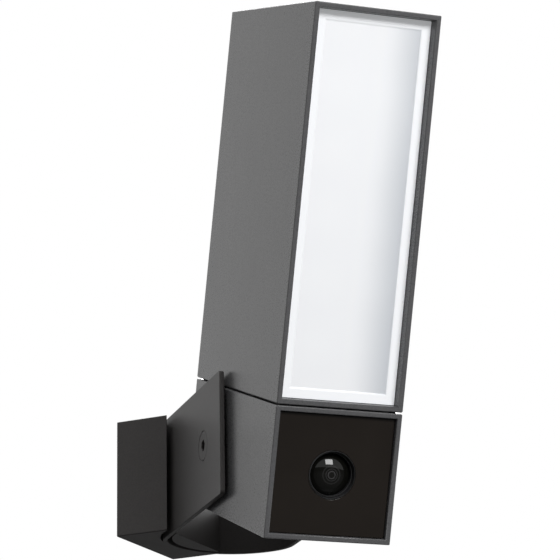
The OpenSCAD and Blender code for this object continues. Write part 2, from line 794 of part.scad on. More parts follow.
module reflector_tray() {
  w = inner_w - 2 * fit_gap;
  h = lamp_inner_h - 2 * fit_gap;
  color(white) on_head() difference() {
    union() {
      translate([0, 0, lamp_mid]) from_front(tray_front, led_board_front) frame_2d(w, h, tray_wall);
      translate([0, 0, lamp_mid]) from_front(led_board_front - tray_wall, led_board_front)
        square([w - 1, h - 1], center = true);
    }
    for (x = led_x(), z = led_z())
      translate([x, 0, z]) from_front(led_board_front - tray_wall - 1, led_board_front + 1)
        square(led_side + 1, center = true);
    for (x = [-1, 1], depth = [join_depths[0]])
      rod_z(x * join_x, depth, 3.2, lamp_floor, lamp_floor + casing_wall + join_boss_h);
    for (z = led_screw_z()) rod_y(0, z, 2.6, led_board_front - tray_wall - 1, led_board_front + 1);
  }
}

function led_x() = [for (i = [0 : led_columns - 1]) (i - (led_columns - 1) / 2) * 20];
function led_z() = [for (i = [0 : led_rows - 1])
  lamp_mid + (i - (led_rows - 1) / 2) * lamp_inner_h / led_rows];
function led_screw_z() = [for (side = [-1, 1])
  lamp_mid + side * lamp_inner_h / led_rows * floor(led_rows / 2 - 0.5)];

module led_board() {
  color(white) on_head() difference() {
    translate([0, 0, lamp_mid]) from_front(led_board_front, spreader_front)
      square([inner_w - 6, lamp_inner_h - 6], center = true);
    for (z = led_screw_z()) rod_y(0, z, 1.2 + screw_gap, led_board_front - 1, spreader_front + 1);
  }
}

module leds() {
  color("gold") on_head() for (x = led_x(), z = led_z())
    translate([x, 0, z]) from_front(led_board_front - 0.9, led_board_front) square(led_side, center = true);
}

module led_screws() {
  color(steel) on_head() for (z = led_screw_z()) {
    rod_y(0, z, 1.2, led_board_front - eps, spreader_front + 3);
    rod_y(0, z, 2.2, led_board_front - 1.2, led_board_front);
  }
}

module heat_spreader() {
  w = inner_w;
  h = lamp_inner_h - 2 * fit_gap;
  color(steel) on_head() difference() {
    union() {
      translate([0, 0, lamp_mid]) from_front(spreader_front, spreader_front + spreader_t)
        square([w, h], center = true);
      // Flanges that carry the heat into the casing's sides
      for (s = [-1, 1]) translate([s * (w / 2 - 1), 0, 0])
        block(2, spreader_front, spreader_front + spreader_t + flange_d, lamp_mid - h / 2,
          lamp_mid + h / 2);
    }
    for (z = led_screw_z()) rod_y(0, z, 1.2 + screw_gap, spreader_front - 1, spreader_front + 3.4);
    for (x = [-1, 1], z = [-1, 1])
      rod_y(x * (driver_w / 2 - 3), lamp_mid + z * (driver_h / 2 - 4), 1.5 + screw_gap,
      spreader_front + 1, spreader_front + spreader_t + 1);
    // Slot for the wires to the diodes
    block(12, spreader_front - 1, spreader_front + spreader_t + 1, lamp_mid - h / 2 - 1,
      lamp_mid - h / 2 + 6);
  }
}

module spreader_screws() {
  color(steel) on_head() for (x = [-1, 1], z = [-1, 1])
    rod_y(x * (driver_w / 2 - 3), lamp_mid + z * (driver_h / 2 - 4), 2.5,
      driver_board_front + board_t, driver_board_front + board_t + 1.6);
}

module driver_posts() {
  color(brass) on_head() for (x = [-1, 1], z = [-1, 1]) {
    rod_y(x * (driver_w / 2 - 3), lamp_mid + z * (driver_h / 2 - 4), 2.5,
      spreader_front + spreader_t, driver_board_front);
    rod_y(x * (driver_w / 2 - 3), lamp_mid + z * (driver_h / 2 - 4), 1.5,
      spreader_front + 1.2, spreader_front + spreader_t + eps);
  }
}

module driver_board() {
  color(board_green) on_head() translate([0, 0, lamp_mid])
    from_front(driver_board_front, driver_board_front + board_t)
    square([driver_w, driver_h], center = true);
}

module transformer() {
  near = driver_board_front + board_t;
  color([0.85, 0.75, 0.3]) on_head() {
    block(22, near, near + 18, lamp_mid - 22, lamp_mid - 2);
    block(16, near + 2, near + 20, lamp_mid - 18, lamp_mid - 6);
  }
}

module capacitors() {
  near = driver_board_front + board_t;
  color([0.15, 0.2, 0.35]) on_head() {
    rod_y(-7, lamp_mid + 12, 6, near, near + 20);
    rod_y(8, lamp_mid + 12, 5, near, near + 16);
    rod_y(0, lamp_mid + 26, 4, near, near + 11);
  }
}

module driver_cover() {
  near = driver_board_front + board_t;
  color([0.9, 0.85, 0.6]) on_head() difference() {
    translate([0, 0, lamp_mid]) from_front(near - board_t - 1, near + cover_d - 2)
      square([driver_w + 3.4, driver_h + 3.4], center = true);
    translate([0, 0, lamp_mid]) from_front(near - board_t - 2, near + cover_d - 3.4)
      square([driver_w + 0.6, driver_h + 0.6], center = true);
    block(14, near + 4, near + 12, lamp_mid - driver_h, lamp_mid);
  }
}

wall_gasket();
wall_plate();
base_shell();
clamp_core();
core_pad();
clamp_screws();
cable_grommet();
bracket();
pivot_screws();
friction_washers();
pivot_inserts();
camera_housing();
front_glass();
glass_gasket();
lens_bezel();
lens_barrel();
lens_front_element();
lens_rear_element();
lens_mount();
ir_filter_frame();
ir_filter_glass();
filter_motor();
sensor_board();
image_sensor();
ir_led_board();
ir_leds();
front_chassis();
chassis_screws();
main_board();
board_screws();
processor();
heat_sink();
wifi_antenna();
microphone();
card_socket();
memory_card();
hatch_seal();
card_hatch();
hatch_screws();
cable_gland();
gland_nut();
terminal_block();
module_seal();
joining_screws();
lamp_housing();
diffuser();
diffuser_gasket();
reflector_tray();
led_board();
leds();
led_screws();
heat_spreader();
spreader_screws();
driver_posts();
driver_board();
transformer();
capacitors();
driver_cover();
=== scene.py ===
"""Floodlight security camera: finishes, softened edges, lens, diffuser and stage around its frame."""

import json
from math import asin, cos, pi, radians, sin

import bmesh
import bpy
from bpy.props import FloatProperty, FloatVectorProperty, IntProperty, PointerProperty
from bpy.types import Operator, Panel, PropertyGroup
from mathutils import Matrix, Vector


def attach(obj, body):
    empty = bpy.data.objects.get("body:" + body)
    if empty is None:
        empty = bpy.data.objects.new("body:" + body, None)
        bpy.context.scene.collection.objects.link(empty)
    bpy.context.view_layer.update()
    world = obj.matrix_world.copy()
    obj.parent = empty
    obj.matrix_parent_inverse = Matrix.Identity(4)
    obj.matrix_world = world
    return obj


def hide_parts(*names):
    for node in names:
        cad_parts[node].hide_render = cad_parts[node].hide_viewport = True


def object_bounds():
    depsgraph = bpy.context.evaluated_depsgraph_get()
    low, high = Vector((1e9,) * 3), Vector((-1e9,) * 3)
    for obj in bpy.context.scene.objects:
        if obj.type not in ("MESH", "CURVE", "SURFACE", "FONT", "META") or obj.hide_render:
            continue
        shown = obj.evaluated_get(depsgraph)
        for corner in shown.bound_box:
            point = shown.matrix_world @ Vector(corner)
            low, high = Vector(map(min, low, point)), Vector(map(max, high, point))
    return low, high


bl_info = {
    "name": "Floodlight security camera",
    "version": (1, 0, 0),
    "blender": (4, 5, 0),
    "location": "View3D > Sidebar > Floodlight",
    "description": "Builds the visible pieces and finishes of a wall camera with a tall floodlight",
    "category": "Object",
}

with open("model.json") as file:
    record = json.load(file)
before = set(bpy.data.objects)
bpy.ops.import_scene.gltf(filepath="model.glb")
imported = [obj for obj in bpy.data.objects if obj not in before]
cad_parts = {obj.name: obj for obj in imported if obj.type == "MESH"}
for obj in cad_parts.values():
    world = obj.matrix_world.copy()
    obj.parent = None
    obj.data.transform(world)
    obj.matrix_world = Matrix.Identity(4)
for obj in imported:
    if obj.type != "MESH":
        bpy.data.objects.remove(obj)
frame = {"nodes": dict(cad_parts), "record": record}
cad_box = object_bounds()

MM = 0.001
HEAD, ARM, WALL = "head", "bracket_arm", "wall_base"
# Faces that meet at more degrees than this have an edge to round off
SHARP = 40
# Size of the faint clouds in each finish
CLOUD_SIZE = 22 * MM


# ---- where things are ----


def joint(name):
    """The record's row for a joint."""
    return next(row for row in frame["record"]["behaviour"]["joints"] if row["name"] == name)


def mount(name):
    """The record's row for a mount."""
    return next(row for row in frame["record"]["mounts"] if row["name"] == name)


def place_of(origin, x_axis, y_axis):
    """The matrix of a piece's own axes, with its Z square to the two given ones."""
    x, y = Vector(x_axis).normalized(), Vector(y_axis).normalized()
    place = Matrix((x, y, x.cross(y))).transposed().to_4x4()
    place.translation = origin
    return place


UP = Vector((0, 0, 1))
SIDEWAYS = Vector(joint("tilt")["axis"])
# The head's own axes: X along the tilt axis, Y towards the cable gland, origin on the tilt axis
HEAD_PLACE = place_of(joint("tilt")["pos_m"], SIDEWAYS, mount("gland_bore")["axis"])
# The bracket's own axes: X along the tilt axis, Z up, origin on the pan axis
ARM_PLACE = place_of(joint("pan")["pos_m"], SIDEWAYS, UP.cross(SIDEWAYS))
WALL_PLACE = Matrix.Identity(4)


def own_box(node, place):
    """Lowest and highest corner of a CAD node, measured along a piece's own axes."""
    inverse = place.inverted()
    points = [inverse @ vertex.co for vertex in frame["nodes"][node].data.vertices]
    low = Vector([min(point[i] for point in points) for i in range(3)])
    high = Vector([max(point[i] for point in points) for i in range(3)])
    return low, high


# ---- shapes ----


def copy_of(node, place):
    """The CAD node's own shape as a clean bmesh along a piece's own axes."""
    shape = bmesh.new()
    shape.from_mesh(frame["nodes"][node].data)
    bmesh.ops.transform(shape, matrix=place.inverted(), verts=shape.verts)
    bmesh.ops.remove_doubles(shape, verts=shape.verts, dist=0.002 * MM)
    bmesh.ops.dissolve_limit(shape, angle_limit=radians(0.5), verts=shape.verts, edges=shape.edges)
    return shape


def sharp_edges(shape, angle, keep=lambda edge: True):
    """Edges between two faces that meet more sharply than the angle."""
    return [edge for edge in shape.edges
            if len(edge.link_faces) == 2 and edge.calc_face_angle(0) > radians(angle) and keep(edge)]


def on_plane(axis, value):
    """A test for edges that lie in a plane square to one of a piece's own axes."""
    return lambda edge: all(abs(vertex.co[axis] - value) < 0.01 * MM for vertex in edge.verts)


def soften(shape, edges, width, steps=3):
    """Rounds edges off."""
    bmesh.ops.bevel(shape, geom=edges, offset=width, offset_type="OFFSET", segments=steps, profile=0.5,
                    affect="EDGES", clamp_overlap=True, material=-1)


def box_shape(low, high):
    """A block between two corners."""
    shape = bmesh.new()
    bmesh.ops.create_cube(shape, size=1)
    size = Vector(high) - Vector(low)
    bmesh.ops.scale(shape, vec=size, verts=shape.verts)
    bmesh.ops.translate(shape, vec=(Vector(high) + Vector(low)) / 2, verts=shape.verts)
    return shape


def turned(profile, centre, steps=96):
    """A ring or disc turned about a line along Y. The profile is closed and holds (radius, y) pairs."""
    shape = bmesh.new()
    points = [shape.verts.new((radius, y, 0)) for radius, y in profile]
    edges = [shape.edges.new((points[i - 1], points[i])) for i in range(len(points))]
    bmesh.ops.spin(shape, geom=points + edges, cent=(0, 0, 0), axis=(0, 1, 0), dvec=(0, 0, 0),
                   angle=2 * pi, steps=steps, use_merge=True, use_duplicate=False)
    bmesh.ops.remove_doubles(shape, verts=shape.verts, dist=0.002 * MM)
    loose = [edge for edge in shape.edges if not edge.link_faces]
    bmesh.ops.delete(shape, geom=loose, context="EDGES")
    bmesh.ops.recalc_face_normals(shape, faces=shape.faces)
    bmesh.ops.translate(shape, vec=centre, verts=shape.verts)
    return shape


def joined(*shapes):
    """Several shapes as one."""
    whole = bmesh.new()
    for shape in shapes:
        mesh = bpy.data.meshes.new("part")
        shape.to_mesh(mesh)
        shape.free()
        whole.from_mesh(mesh)
        bpy.data.meshes.remove(mesh)
    return whole


def make_piece(name, shape, place, body, material, replaces=(), smooth=32):
    """Turns a shape into a finished piece that rides on a body."""
    bmesh.ops.transform(shape, matrix=place, verts=shape.verts)
    mesh = bpy.data.meshes.new(name)
    shape.to_mesh(mesh)
    shape.free()
    mesh.shade_smooth()
    mesh.set_sharp_from_angle(angle=radians(smooth))
    mesh.materials.append(material)
    piece = bpy.data.objects.new(name, mesh)
    bpy.context.scene.collection.objects.link(piece)
    # Keeps large flat faces flat beside their narrow rounded edges
    weights = piece.modifiers.new("even_faces", "WEIGHTED_NORMAL")
    weights.keep_sharp = True
    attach(piece, body)
    if replaces:
        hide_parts(*replaces)
    return piece


# ---- shader nodes ----


class Value:
    """A shader socket that can be used in sums. Each sum adds its Math node."""

    def __init__(self, nodes, socket):
        self.nodes, self.socket = nodes, socket

    def math(self, operation, *values):
        """A Math node on one or two values."""
        inputs = dict(zip(("Value", "Value_001"), values))
        return self.nodes.node("ShaderNodeMath", {"operation": operation}, inputs)["Value"]

    def __add__(self, other):
        return self.math("ADD", self, other)

    def __radd__(self, other):
        return self.math("ADD", other, self)

    def __sub__(self, other):
        return self.math("SUBTRACT", self, other)

    def __rsub__(self, other):
        return self.math("SUBTRACT", other, self)

    def __mul__(self, other):
        return self.math("MULTIPLY", self, other)

    def __rmul__(self, other):
        return self.math("MULTIPLY", other, self)

    def __truediv__(self, other):
        return self.math("DIVIDE", self, other)

    def __rtruediv__(self, other):
        return self.math("DIVIDE", other, self)

    def __pow__(self, other):
        return self.math("POWER", self, other)

    def __abs__(self):
        return self.math("ABSOLUTE", self)

    def sine(self):
        """The sine of an angle in radians."""
        return self.math("SINE", self)

    def cosine(self):
        """The cosine of an angle in radians."""
        return self.math("COSINE", self)

    def larger(self, other):
        """The larger of two values."""
        return self.math("MAXIMUM", self, other)

    def step(self, start, end):
        """0 before the start and 1 past the end, with a soft change between."""
        return self.nodes.node("ShaderNodeMapRange", {"interpolation_type": "SMOOTHSTEP"}, {
            "Value": self, "From Min": start, "From Max": end})["Result"]


class Outputs:
    """The outputs of a node, by name."""

    def __init__(self, nodes, node):
        self.nodes, self.node = nodes, node

    def __getitem__(self, name):
        named = [socket for socket in self.node.outputs if name in (socket.identifier, socket.name)]
        return Value(self.nodes, next((socket for socket in named if socket.enabled), named[0]))


class Nodes:
    """The nodes of a material or of the world. Each of them comes from one method."""

    def __init__(self, owner):
        owner.use_nodes = True
        self.tree = owner.node_tree
        self.tree.nodes.clear()

    def node(self, kind, settings=None, inputs=None):
        """Adds a node: its settings first, then the values or links of its sockets."""
        node = self.tree.nodes.new(kind)
        for name, value in (settings or {}).items():
            setattr(node, name, value)
        self.feed(node, inputs or {})
        return Outputs(self, node)

    def feed(self, node, inputs):
        """Sets or links sockets of a node by their names or identifiers."""
        for name, value in inputs.items():
            socket = (next((s for s in node.inputs if s.identifier == name), None)
                      or next(s for s in node.inputs if s.name == name))
            if isinstance(value, Value):
                self.tree.links.new(value.socket, socket)
            elif socket.type == "RGBA":
                socket.default_value = (*value[:3], 1)
            else:
                socket.default_value = value


class Finish(Nodes):
    """A material with one surface shader."""

    def __init__(self, name, **constants):
        self.material = bpy.data.materials.new(name)
        super().__init__(self.material)
        self.surface = self.node("ShaderNodeBsdfPrincipled", {}, constants)
        self.node("ShaderNodeOutputMaterial", {}, {"Surface": self.surface["BSDF"]})
        self.coordinates = self.node("ShaderNodeTexCoord")["Object"]

    def drive(self, **inputs):
        """Lets values that vary over the surface feed the shader."""
        self.feed(self.surface.node, {name.replace("_", " "): value for name, value in inputs.items()})

    def noise(self, size, detail=2.0, roughness=0.5, stretch=(1, 1, 1)):
        """Soft random values from 0 to 1 with spots of about the given size."""
        place = self.node("ShaderNodeMapping", {}, {"Vector": self.coordinates, "Scale": stretch})
        return self.node("ShaderNodeTexNoise", {}, {
            "Vector": place["Vector"], "Scale": 1 / size, "Detail": detail,
            "Roughness": roughness})["Fac"]

    def mix(self, share, first, second):
        """One colour turning into another."""
        return self.node("ShaderNodeMix", {"data_type": "RGBA"}, {
            "Factor_Float": share, "A_Color": first, "B_Color": second})["Result_Color"]

    def bump(self, height, depth):
        """Bends the surface by a height from 0 to 1, times the depth in metres."""
        normal = self.node("ShaderNodeBump", {}, {"Height": height, "Distance": depth, "Strength": 1.0})
        self.drive(Normal=normal["Normal"])

    def own_axes(self, place):
        """X, Y and Z along a piece's own axes."""
        turned_back = self.node("ShaderNodeMapping", {"vector_type": "TEXTURE"}, {
            "Vector": self.coordinates, "Location": place.translation, "Rotation": place.to_euler()})
        split = self.node("ShaderNodeSeparateXYZ", {}, {"Vector": turned_back["Vector"]})
        return split["X"], split["Y"], split["Z"]


def shade(colour, factor):
    """A lighter or darker copy of a colour."""
    return tuple(channel * factor for channel in colour[:3])


def powder_coat(name, colour, roughness, settings):
    """Sprayed metal: a fine satin grain, faint clouds and a soft sheen."""
    finish = Finish(name, **{"Specular IOR Level": settings.coat_gloss})
    grain = finish.noise(settings.grain_size, detail=3.0, roughness=0.6)
    clouds = finish.noise(CLOUD_SIZE, detail=3.0)
    amount = 0.5 + (grain - 0.5) * 1.6 + (clouds - 0.5) * 0.9
    finish.drive(Base_Color=finish.mix(amount, shade(colour, 0.84), shade(colour, 1.16)),
                 Roughness=roughness + (grain - 0.5) * 0.14 + (clouds - 0.5) * 0.05)
    finish.bump(grain, settings.grain_depth)
    return finish.material


def moulded(name, colour, roughness, grain_size=0.6 * MM, grain_depth=0.03 * MM, spread=0.12,
            **constants):
    """Moulded plastic or rubber with a spark-eroded texture."""
    finish = Finish(name, **constants)
    grain = finish.noise(grain_size, detail=3.0)
    clouds = finish.noise(CLOUD_SIZE)
    amount = 0.5 + (grain - 0.5) + (clouds - 0.5)
    finish.drive(Base_Color=finish.mix(amount, shade(colour, 1 - spread), shade(colour, 1 + spread)),
                 Roughness=roughness + (grain - 0.5) * 0.15)
    finish.bump(grain, grain_depth)
    return finish.material


def brushed(name, colour, roughness):
    """Bare metal with fine drawn lines along Y."""
    finish = Finish(name, Metallic=1.0)
    lines = finish.noise(0.25 * MM, detail=3.0, stretch=(1, 0.04, 1))
    clouds = finish.noise(CLOUD_SIZE)
    amount = 0.5 + (lines - 0.5) * 0.8 + (clouds - 0.5) * 0.6
    finish.drive(Base_Color=finish.mix(amount, shade(colour, 0.86), shade(colour, 1.1)),
                 Roughness=roughness + (lines - 0.5) * 0.2)
    finish.bump(lines, 0.01 * MM)
    return finish.material


def circuit(name, colour):
    """Lacquered circuit board with faint tracks."""
    finish = Finish(name)
    cells = finish.node("ShaderNodeTexVoronoi", {"distance": "CHEBYCHEV", "feature": "F1"}, {
        "Vector": finish.coordinates, "Scale": 1 / (3 * MM)})["Distance"]
    tracks = cells.step(0.28, 0.36)
    grain = finish.noise(0.5 * MM)
    finish.drive(Base_Color=finish.mix(tracks, shade(colour, 1.35), colour),
                 Roughness=0.32 + (grain - 0.5) * 0.1)
    finish.bump(1 - tracks, 0.03 * MM)
    return finish.material


def black_glass(name, colour):
    """Polished dark glass that lets nothing through."""
    finish = Finish(name, **{"Specular IOR Level": 0.22})
    clouds = finish.noise(CLOUD_SIZE)
    finish.drive(Base_Color=finish.mix(clouds, shade(colour, 0.8), shade(colour, 1.2)),
                 Roughness=0.06 + clouds * 0.05)
    return finish.material


def lens_coating(name, place, centre, radius, settings):
    """Coated glass: nearly black, with painted reflections of the inner lens elements as faint rings."""
    finish = Finish(name, **{"Specular IOR Level": 0.26})
    x, _, z = finish.own_axes(place)
    across, up = (x - centre.x) / radius, (z - centre.z) / radius
    distance = (across * across + up * up) ** 0.5
    # Painted reflections of the inner elements: the radius and width of each ring as shares of the
    # lens's radius, and its strength
    rows = ((0.17, 0.035, 1.0), (0.28, 0.03, 0.45), (0.42, 0.04, 0.3))
    rings = 0
    for ring_radius, width, level in rows:
        rings = rings + (1 - abs(distance - ring_radius).step(width * 0.4, width)) * level
    glass = finish.mix(distance.step(0.3, 0.9), settings.lens_colour, shade(settings.lens_colour, 0.6))
    finish.drive(Base_Color=finish.mix(rings, glass, settings.lens_tint),
                 Roughness=0.03 + distance * 0.03)
    return finish.material


def diffuser_light(name, place, low, high, settings):
    """Milky plate over the lamp's tray: a pale border, painted shade in cool grey along the tray's far
    side, and a painted glow.
    """
    finish = Finish(name, **{"Emission Strength": 1.0})
    x, _, z = finish.own_axes(place)
    half_w, half_h = (high.x - low.x) / 2, (high.z - low.z) / 2
    from_middle = z - (low.z + high.z) / 2
    across, up = x / half_w, from_middle / half_h
    border = settings.diffuser_border
    from_edge = (abs(x) + (border - half_w)).larger(abs(from_middle) + (border - half_h))
    inside = 1 - from_edge.step(-0.5 * MM, 0.3 * MM)
    # Painted shade where the tray's far side lies in shade behind the plate; its edge wanders a little
    # along the plate
    wander = finish.noise(30 * MM, detail=1.0)
    far_side_shade = (across + (wander - 0.5) * 0.12 - up * 0.06).step(0.1, 1.1)
    # Faint bright blotches in front of the rows of diodes
    row_pitch = 2 * half_h / settings.diode_rows
    row_wave = (z * (2 * pi / row_pitch)).cosine()
    column_wave = (across * (pi * settings.diode_columns / 2)).sine()
    blotches = abs(column_wave) * (row_wave * 0.5 + 0.5)
    white = finish.mix(blotches * 0.5, shade(settings.diffuser_colour, 0.97), settings.diffuser_colour)
    shaded = finish.mix(far_side_shade, white, settings.diffuser_shade)
    colour = finish.mix(inside, settings.diffuser_frame, shaded)
    # Painted light: the plate glows to look brighter, and its border glows more so that the rim's shadow
    # fades from it
    glow = finish.mix(inside, settings.frame_glow, shade(settings.diffuser_colour, settings.glow))
    grain = finish.noise(0.4 * MM)
    finish.drive(Base_Color=colour, Emission_Color=glow, Roughness=0.35 + (grain - 0.5) * 0.1)
    return finish.material


def diode_face(name, settings):
    """Yellow phosphor square in a white cup."""
    finish = Finish(name, **{"Coat Weight": 0.5})
    grain = finish.noise(0.15 * MM)
    finish.drive(Base_Color=finish.mix(grain, shade(settings.diode_colour, 0.8), settings.diode_colour),
                 Roughness=0.25 + grain * 0.1)
    return finish.material


# ---- properties ----


def colour_property(name, description, default):
    """A linear colour."""
    return FloatVectorProperty(name=name, description=description, default=default, subtype="COLOR",
                               min=0, max=1)


def share_property(name, description, default):
    """A number from 0 to 1."""
    return FloatProperty(name=name, description=description, default=default, min=0, max=1)


def count_property(name, description, default, least):
    """A whole number."""
    return IntProperty(name=name, description=description, default=default, min=least)


def length_property(name, description, default):
    """A length in metres."""
    return FloatProperty(name=name, description=description, default=default, unit="LENGTH",
                         subtype="DISTANCE", min=0, precision=5)


def angle_property(name, description, degrees):
    """An angle, given in degrees."""
    return FloatProperty(name=name, description=description, default=radians(degrees), subtype="ANGLE",
                         unit="ROTATION")


def power_property(name, description, default):
    """The power of a light in watts."""
    return FloatProperty(name=name, description=description, default=default, min=0, unit="POWER")


class FLOODLIGHT_finishes(PropertyGroup):
    """Colours and surface grain of the finishes."""

    graphite: colour_property("Graphite", "Paint of the two casings", (0.098, 0.098, 0.101))
    dark_paint: colour_property("Dark paint", "Paint of the bracket and the wall base",
                                (0.049, 0.0460, 0.0450))
    grain_size: length_property("Grain size", "Size of the paint's grain", 0.55 * MM)
    grain_depth: length_property("Grain depth", "Depth of the paint's grain", 0.035 * MM)
    coat_roughness: share_property("Paint roughness", "Roughness of the casings' paint", 0.28)
    dark_roughness: share_property("Dark paint roughness", "Roughness of the dark paint", 0.44)
    coat_gloss: share_property("Paint gloss", "Strength of the paint's reflection", 0.2)
    glass_colour: colour_property("Front glass", "Colour of the black glass", (0.0150, 0.0120, 0.0098))
    lens_colour: colour_property("Lens", "Colour deep in the lens", (0.006, 0.006, 0.005))
    # Painted reflection: colour of the rings that the inner lens elements reflect
    lens_tint: colour_property("Lens rings", "Colour of the rings of the inner elements",
                               (0.05, 0.048, 0.05))
    diffuser_colour: colour_property("Diffuser", "Colour of the milky plate", (0.90, 0.91, 0.93))
    # Painted shade: the tray's far side, in shade, seen through the plate
    diffuser_shade: colour_property("Diffuser shade", "Colour of the plate where the tray is in shade",
                                    (0.47, 0.50, 0.54))
    diffuser_border: length_property("Diffuser border", "Width of the plate's pale border", 3.6 * MM)
    diffuser_frame: colour_property("Diffuser frame", "Colour of the plate's border", (0.76, 0.77, 0.79))
    # Painted light: these two glows brighten the border and the plate as if lit, and fade the rim's
    # shadow on the border
    frame_glow: colour_property("Frame glow", "Light that the plate's border adds", (0.26, 0.265, 0.27))
    glow: share_property("Glow", "Light that the plate adds inside its border", 0.11)
    diode_rows: count_property("Rows", "Rows of diodes behind the plate", 6, 1)
    diode_columns: count_property("Columns", "Columns of diodes behind the plate", 2, 1)
    diode_colour: colour_property("Diodes", "Colour of the diodes' faces", (0.85, 0.66, 0.16))
    rubber: colour_property("Rubber", "Colour of the seals", (0.012, 0.012, 0.012))
    plastic: colour_property("Black plastic", "Colour of the black mouldings", (0.014, 0.014, 0.015))


class FLOODLIGHT_edges(PropertyGroup):
    """Widths of the rounded edges."""

    rim: length_property("Rim edges", "Rounding of the casings' front rims", 0.45 * MM)
    rear: length_property("Rear edges", "Rounding of the casings' rear outline", 0.6 * MM)
    bracket: length_property("Bracket edges", "Rounding of the bracket's edges", 0.35 * MM)
    base: length_property("Base edges", "Rounding of the wall base's edges", 0.4 * MM)
    glass: length_property("Glass edges", "Polished edges of the front glass", 0.3 * MM)
    small: length_property("Small edges", "Rounding of screws and the hatch", 0.15 * MM)
    pivot: length_property("Pivot edges", "Rounding of the flush tilt pivots", 0.4 * MM)


class FLOODLIGHT_lens(PropertyGroup):
    """Details around the lens."""

    ring_grooves: count_property("Grooves", "Anti-glare grooves inside the bezel", 4, 0)
    seat: length_property("Seat", "Depth of the round rim behind the front element's dome", 1.2 * MM)


class FLOODLIGHT_stage(PropertyGroup):
    """Light, floor and camera."""

    floor_drop: length_property("Floor", "Drop from the wall base's middle to the floor", 0.52)
    floor_size: length_property("Floor size", "Side of the floor", 60.0)
    floor_colour: colour_property("Floor colour", "Colour of the pale floor", (0.86, 0.86, 0.86))
    floor_bounce: share_property("Floor bounce", "Share of its colour that the floor throws back", 0.12)
    floor_glow: share_property("Floor glow", "Whiteness that the floor adds in the picture alone", 0.6)
    world_level: share_property("World", "Brightness of the soft surroundings", 0.22)
    key_power: power_property("Key light", "Power of the light from high on the left", 6.0)
    front_power: power_property("Front light", "Power of the light from the front left", 25.0)
    fill_power: power_property("Fill light", "Power of the light from the right", 45.0)
    back_power: power_property("Back light", "Power of the light from behind", 45.0)
    azimuth: angle_property("Camera azimuth", "Direction of the view, 0 looks along +Y", -64.54)
    elevation: angle_property("Camera elevation", "Height of the view above level", -18.37)
    roll: angle_property("Camera roll", "Turn of the picture", -1.01)
    distance: length_property("Camera distance", "Distance of the camera from its target", 1.17437)
    target: FloatVectorProperty(name="Target", description="Point that the camera looks at",
                                default=(0.01008, -0.06, 0.08793), subtype="XYZ", unit="LENGTH")
    lens: FloatProperty(name="Lens", description="Focal length on a 36 mm wide sensor, in mm",
                        default=176.3, min=1)


SETTINGS = {"floodlight_finishes": FLOODLIGHT_finishes, "floodlight_edges": FLOODLIGHT_edges,
            "floodlight_lens": FLOODLIGHT_lens, "floodlight_stage": FLOODLIGHT_stage}


# ---- finishes of the material slots ----


SLOT_FINISHES = {
    "graphite_paint": lambda name, s: powder_coat(name, s.graphite, s.coat_roughness, s),
    "base_paint": lambda name, s: powder_coat(name, s.dark_paint, s.dark_roughness, s),
    "steel": lambda name, s: brushed(name, (0.52, 0.52, 0.54), 0.34),
    "aluminium_plate": lambda name, s: brushed(name, (0.72, 0.73, 0.75), 0.42),
    "brass": lambda name, s: brushed(name, (0.72, 0.53, 0.24), 0.3),
    "black_rubber": lambda name, s: moulded(name, s.rubber, 0.78, grain_depth=0.05 * MM),
    "black_plastic": lambda name, s: moulded(name, s.plastic, 0.5),
    "circuit_board": lambda name, s: circuit(name, (0.012, 0.11, 0.05)),
    "black_glass": lambda name, s: black_glass(name, s.glass_colour),
    "lens_glass": lambda name, s: moulded(name, (0.10, 0.12, 0.2), 0.08, grain_depth=0.0,
                                          **{"Coat Weight": 1.0, "Coat Roughness": 0.02}),
    "diffuser_white": lambda name, s: moulded(name, s.diffuser_colour, 0.4, spread=0.03),
    "white_plastic": lambda name, s: moulded(name, (0.8, 0.8, 0.78), 0.45, spread=0.05),
    "lamp_diode": diode_face,
    "winding_tape": lambda name, s: moulded(name, (0.72, 0.52, 0.10), 0.35, spread=0.08),
    "capacitor_sleeve": lambda name, s: moulded(name, (0.03, 0.05, 0.16), 0.25, spread=0.08),
}


def slot_finish(slot, settings):
    """The finish of a material slot, made once."""
    name = "finish_" + slot
    return bpy.data.materials.get(name) or SLOT_FINISHES[slot](name, settings)


# ---- operators ----


class FLOODLIGHT_OT_casings(Operator):
    """Lamp casing and camera casing with softened rims"""

    bl_idname = "floodlight.casings"
    bl_label = "Casings"

    def execute(self, context):
        edges = context.scene.floodlight_edges
        paint = slot_finish("graphite_paint", context.scene.floodlight_finishes)
        for node, name in (("lamp_housing", "lamp_casing"), ("camera_housing", "camera_casing")):
            low, high = own_box(node, HEAD_PLACE)
            shape = copy_of(node, HEAD_PLACE)
            soften(shape, sharp_edges(shape, SHARP, on_plane(1, low.y)), edges.rim)
            soften(shape, sharp_edges(shape, SHARP, on_plane(1, high.y)), edges.rear)
            make_piece(name, shape, HEAD_PLACE, HEAD, paint, [node])
        return {"FINISHED"}


class FLOODLIGHT_OT_bracket(Operator):
    """U-shaped bracket with softened edges"""

    bl_idname = "floodlight.bracket"
    bl_label = "Bracket"

    def execute(self, context):
        paint = slot_finish("base_paint", context.scene.floodlight_finishes)
        shape = copy_of("bracket", ARM_PLACE)
        soften(shape, sharp_edges(shape, SHARP), context.scene.floodlight_edges.bracket)
        make_piece("u_bracket", shape, ARM_PLACE, ARM, paint, ["bracket"])
        return {"FINISHED"}


class FLOODLIGHT_OT_wall_base(Operator):
    """Shell and clamp core of the wall base"""

    bl_idname = "floodlight.wall_base"
    bl_label = "Wall base"

    def execute(self, context):
        paint = slot_finish("base_paint", context.scene.floodlight_finishes)
        for node, name in (("base_shell", "base_casing"), ("clamp_core", "bracket_clamp")):
            shape = copy_of(node, WALL_PLACE)
            soften(shape, sharp_edges(shape, SHARP), context.scene.floodlight_edges.base, steps=2)
            make_piece(name, shape, WALL_PLACE, WALL, paint, [node])
        return {"FINISHED"}


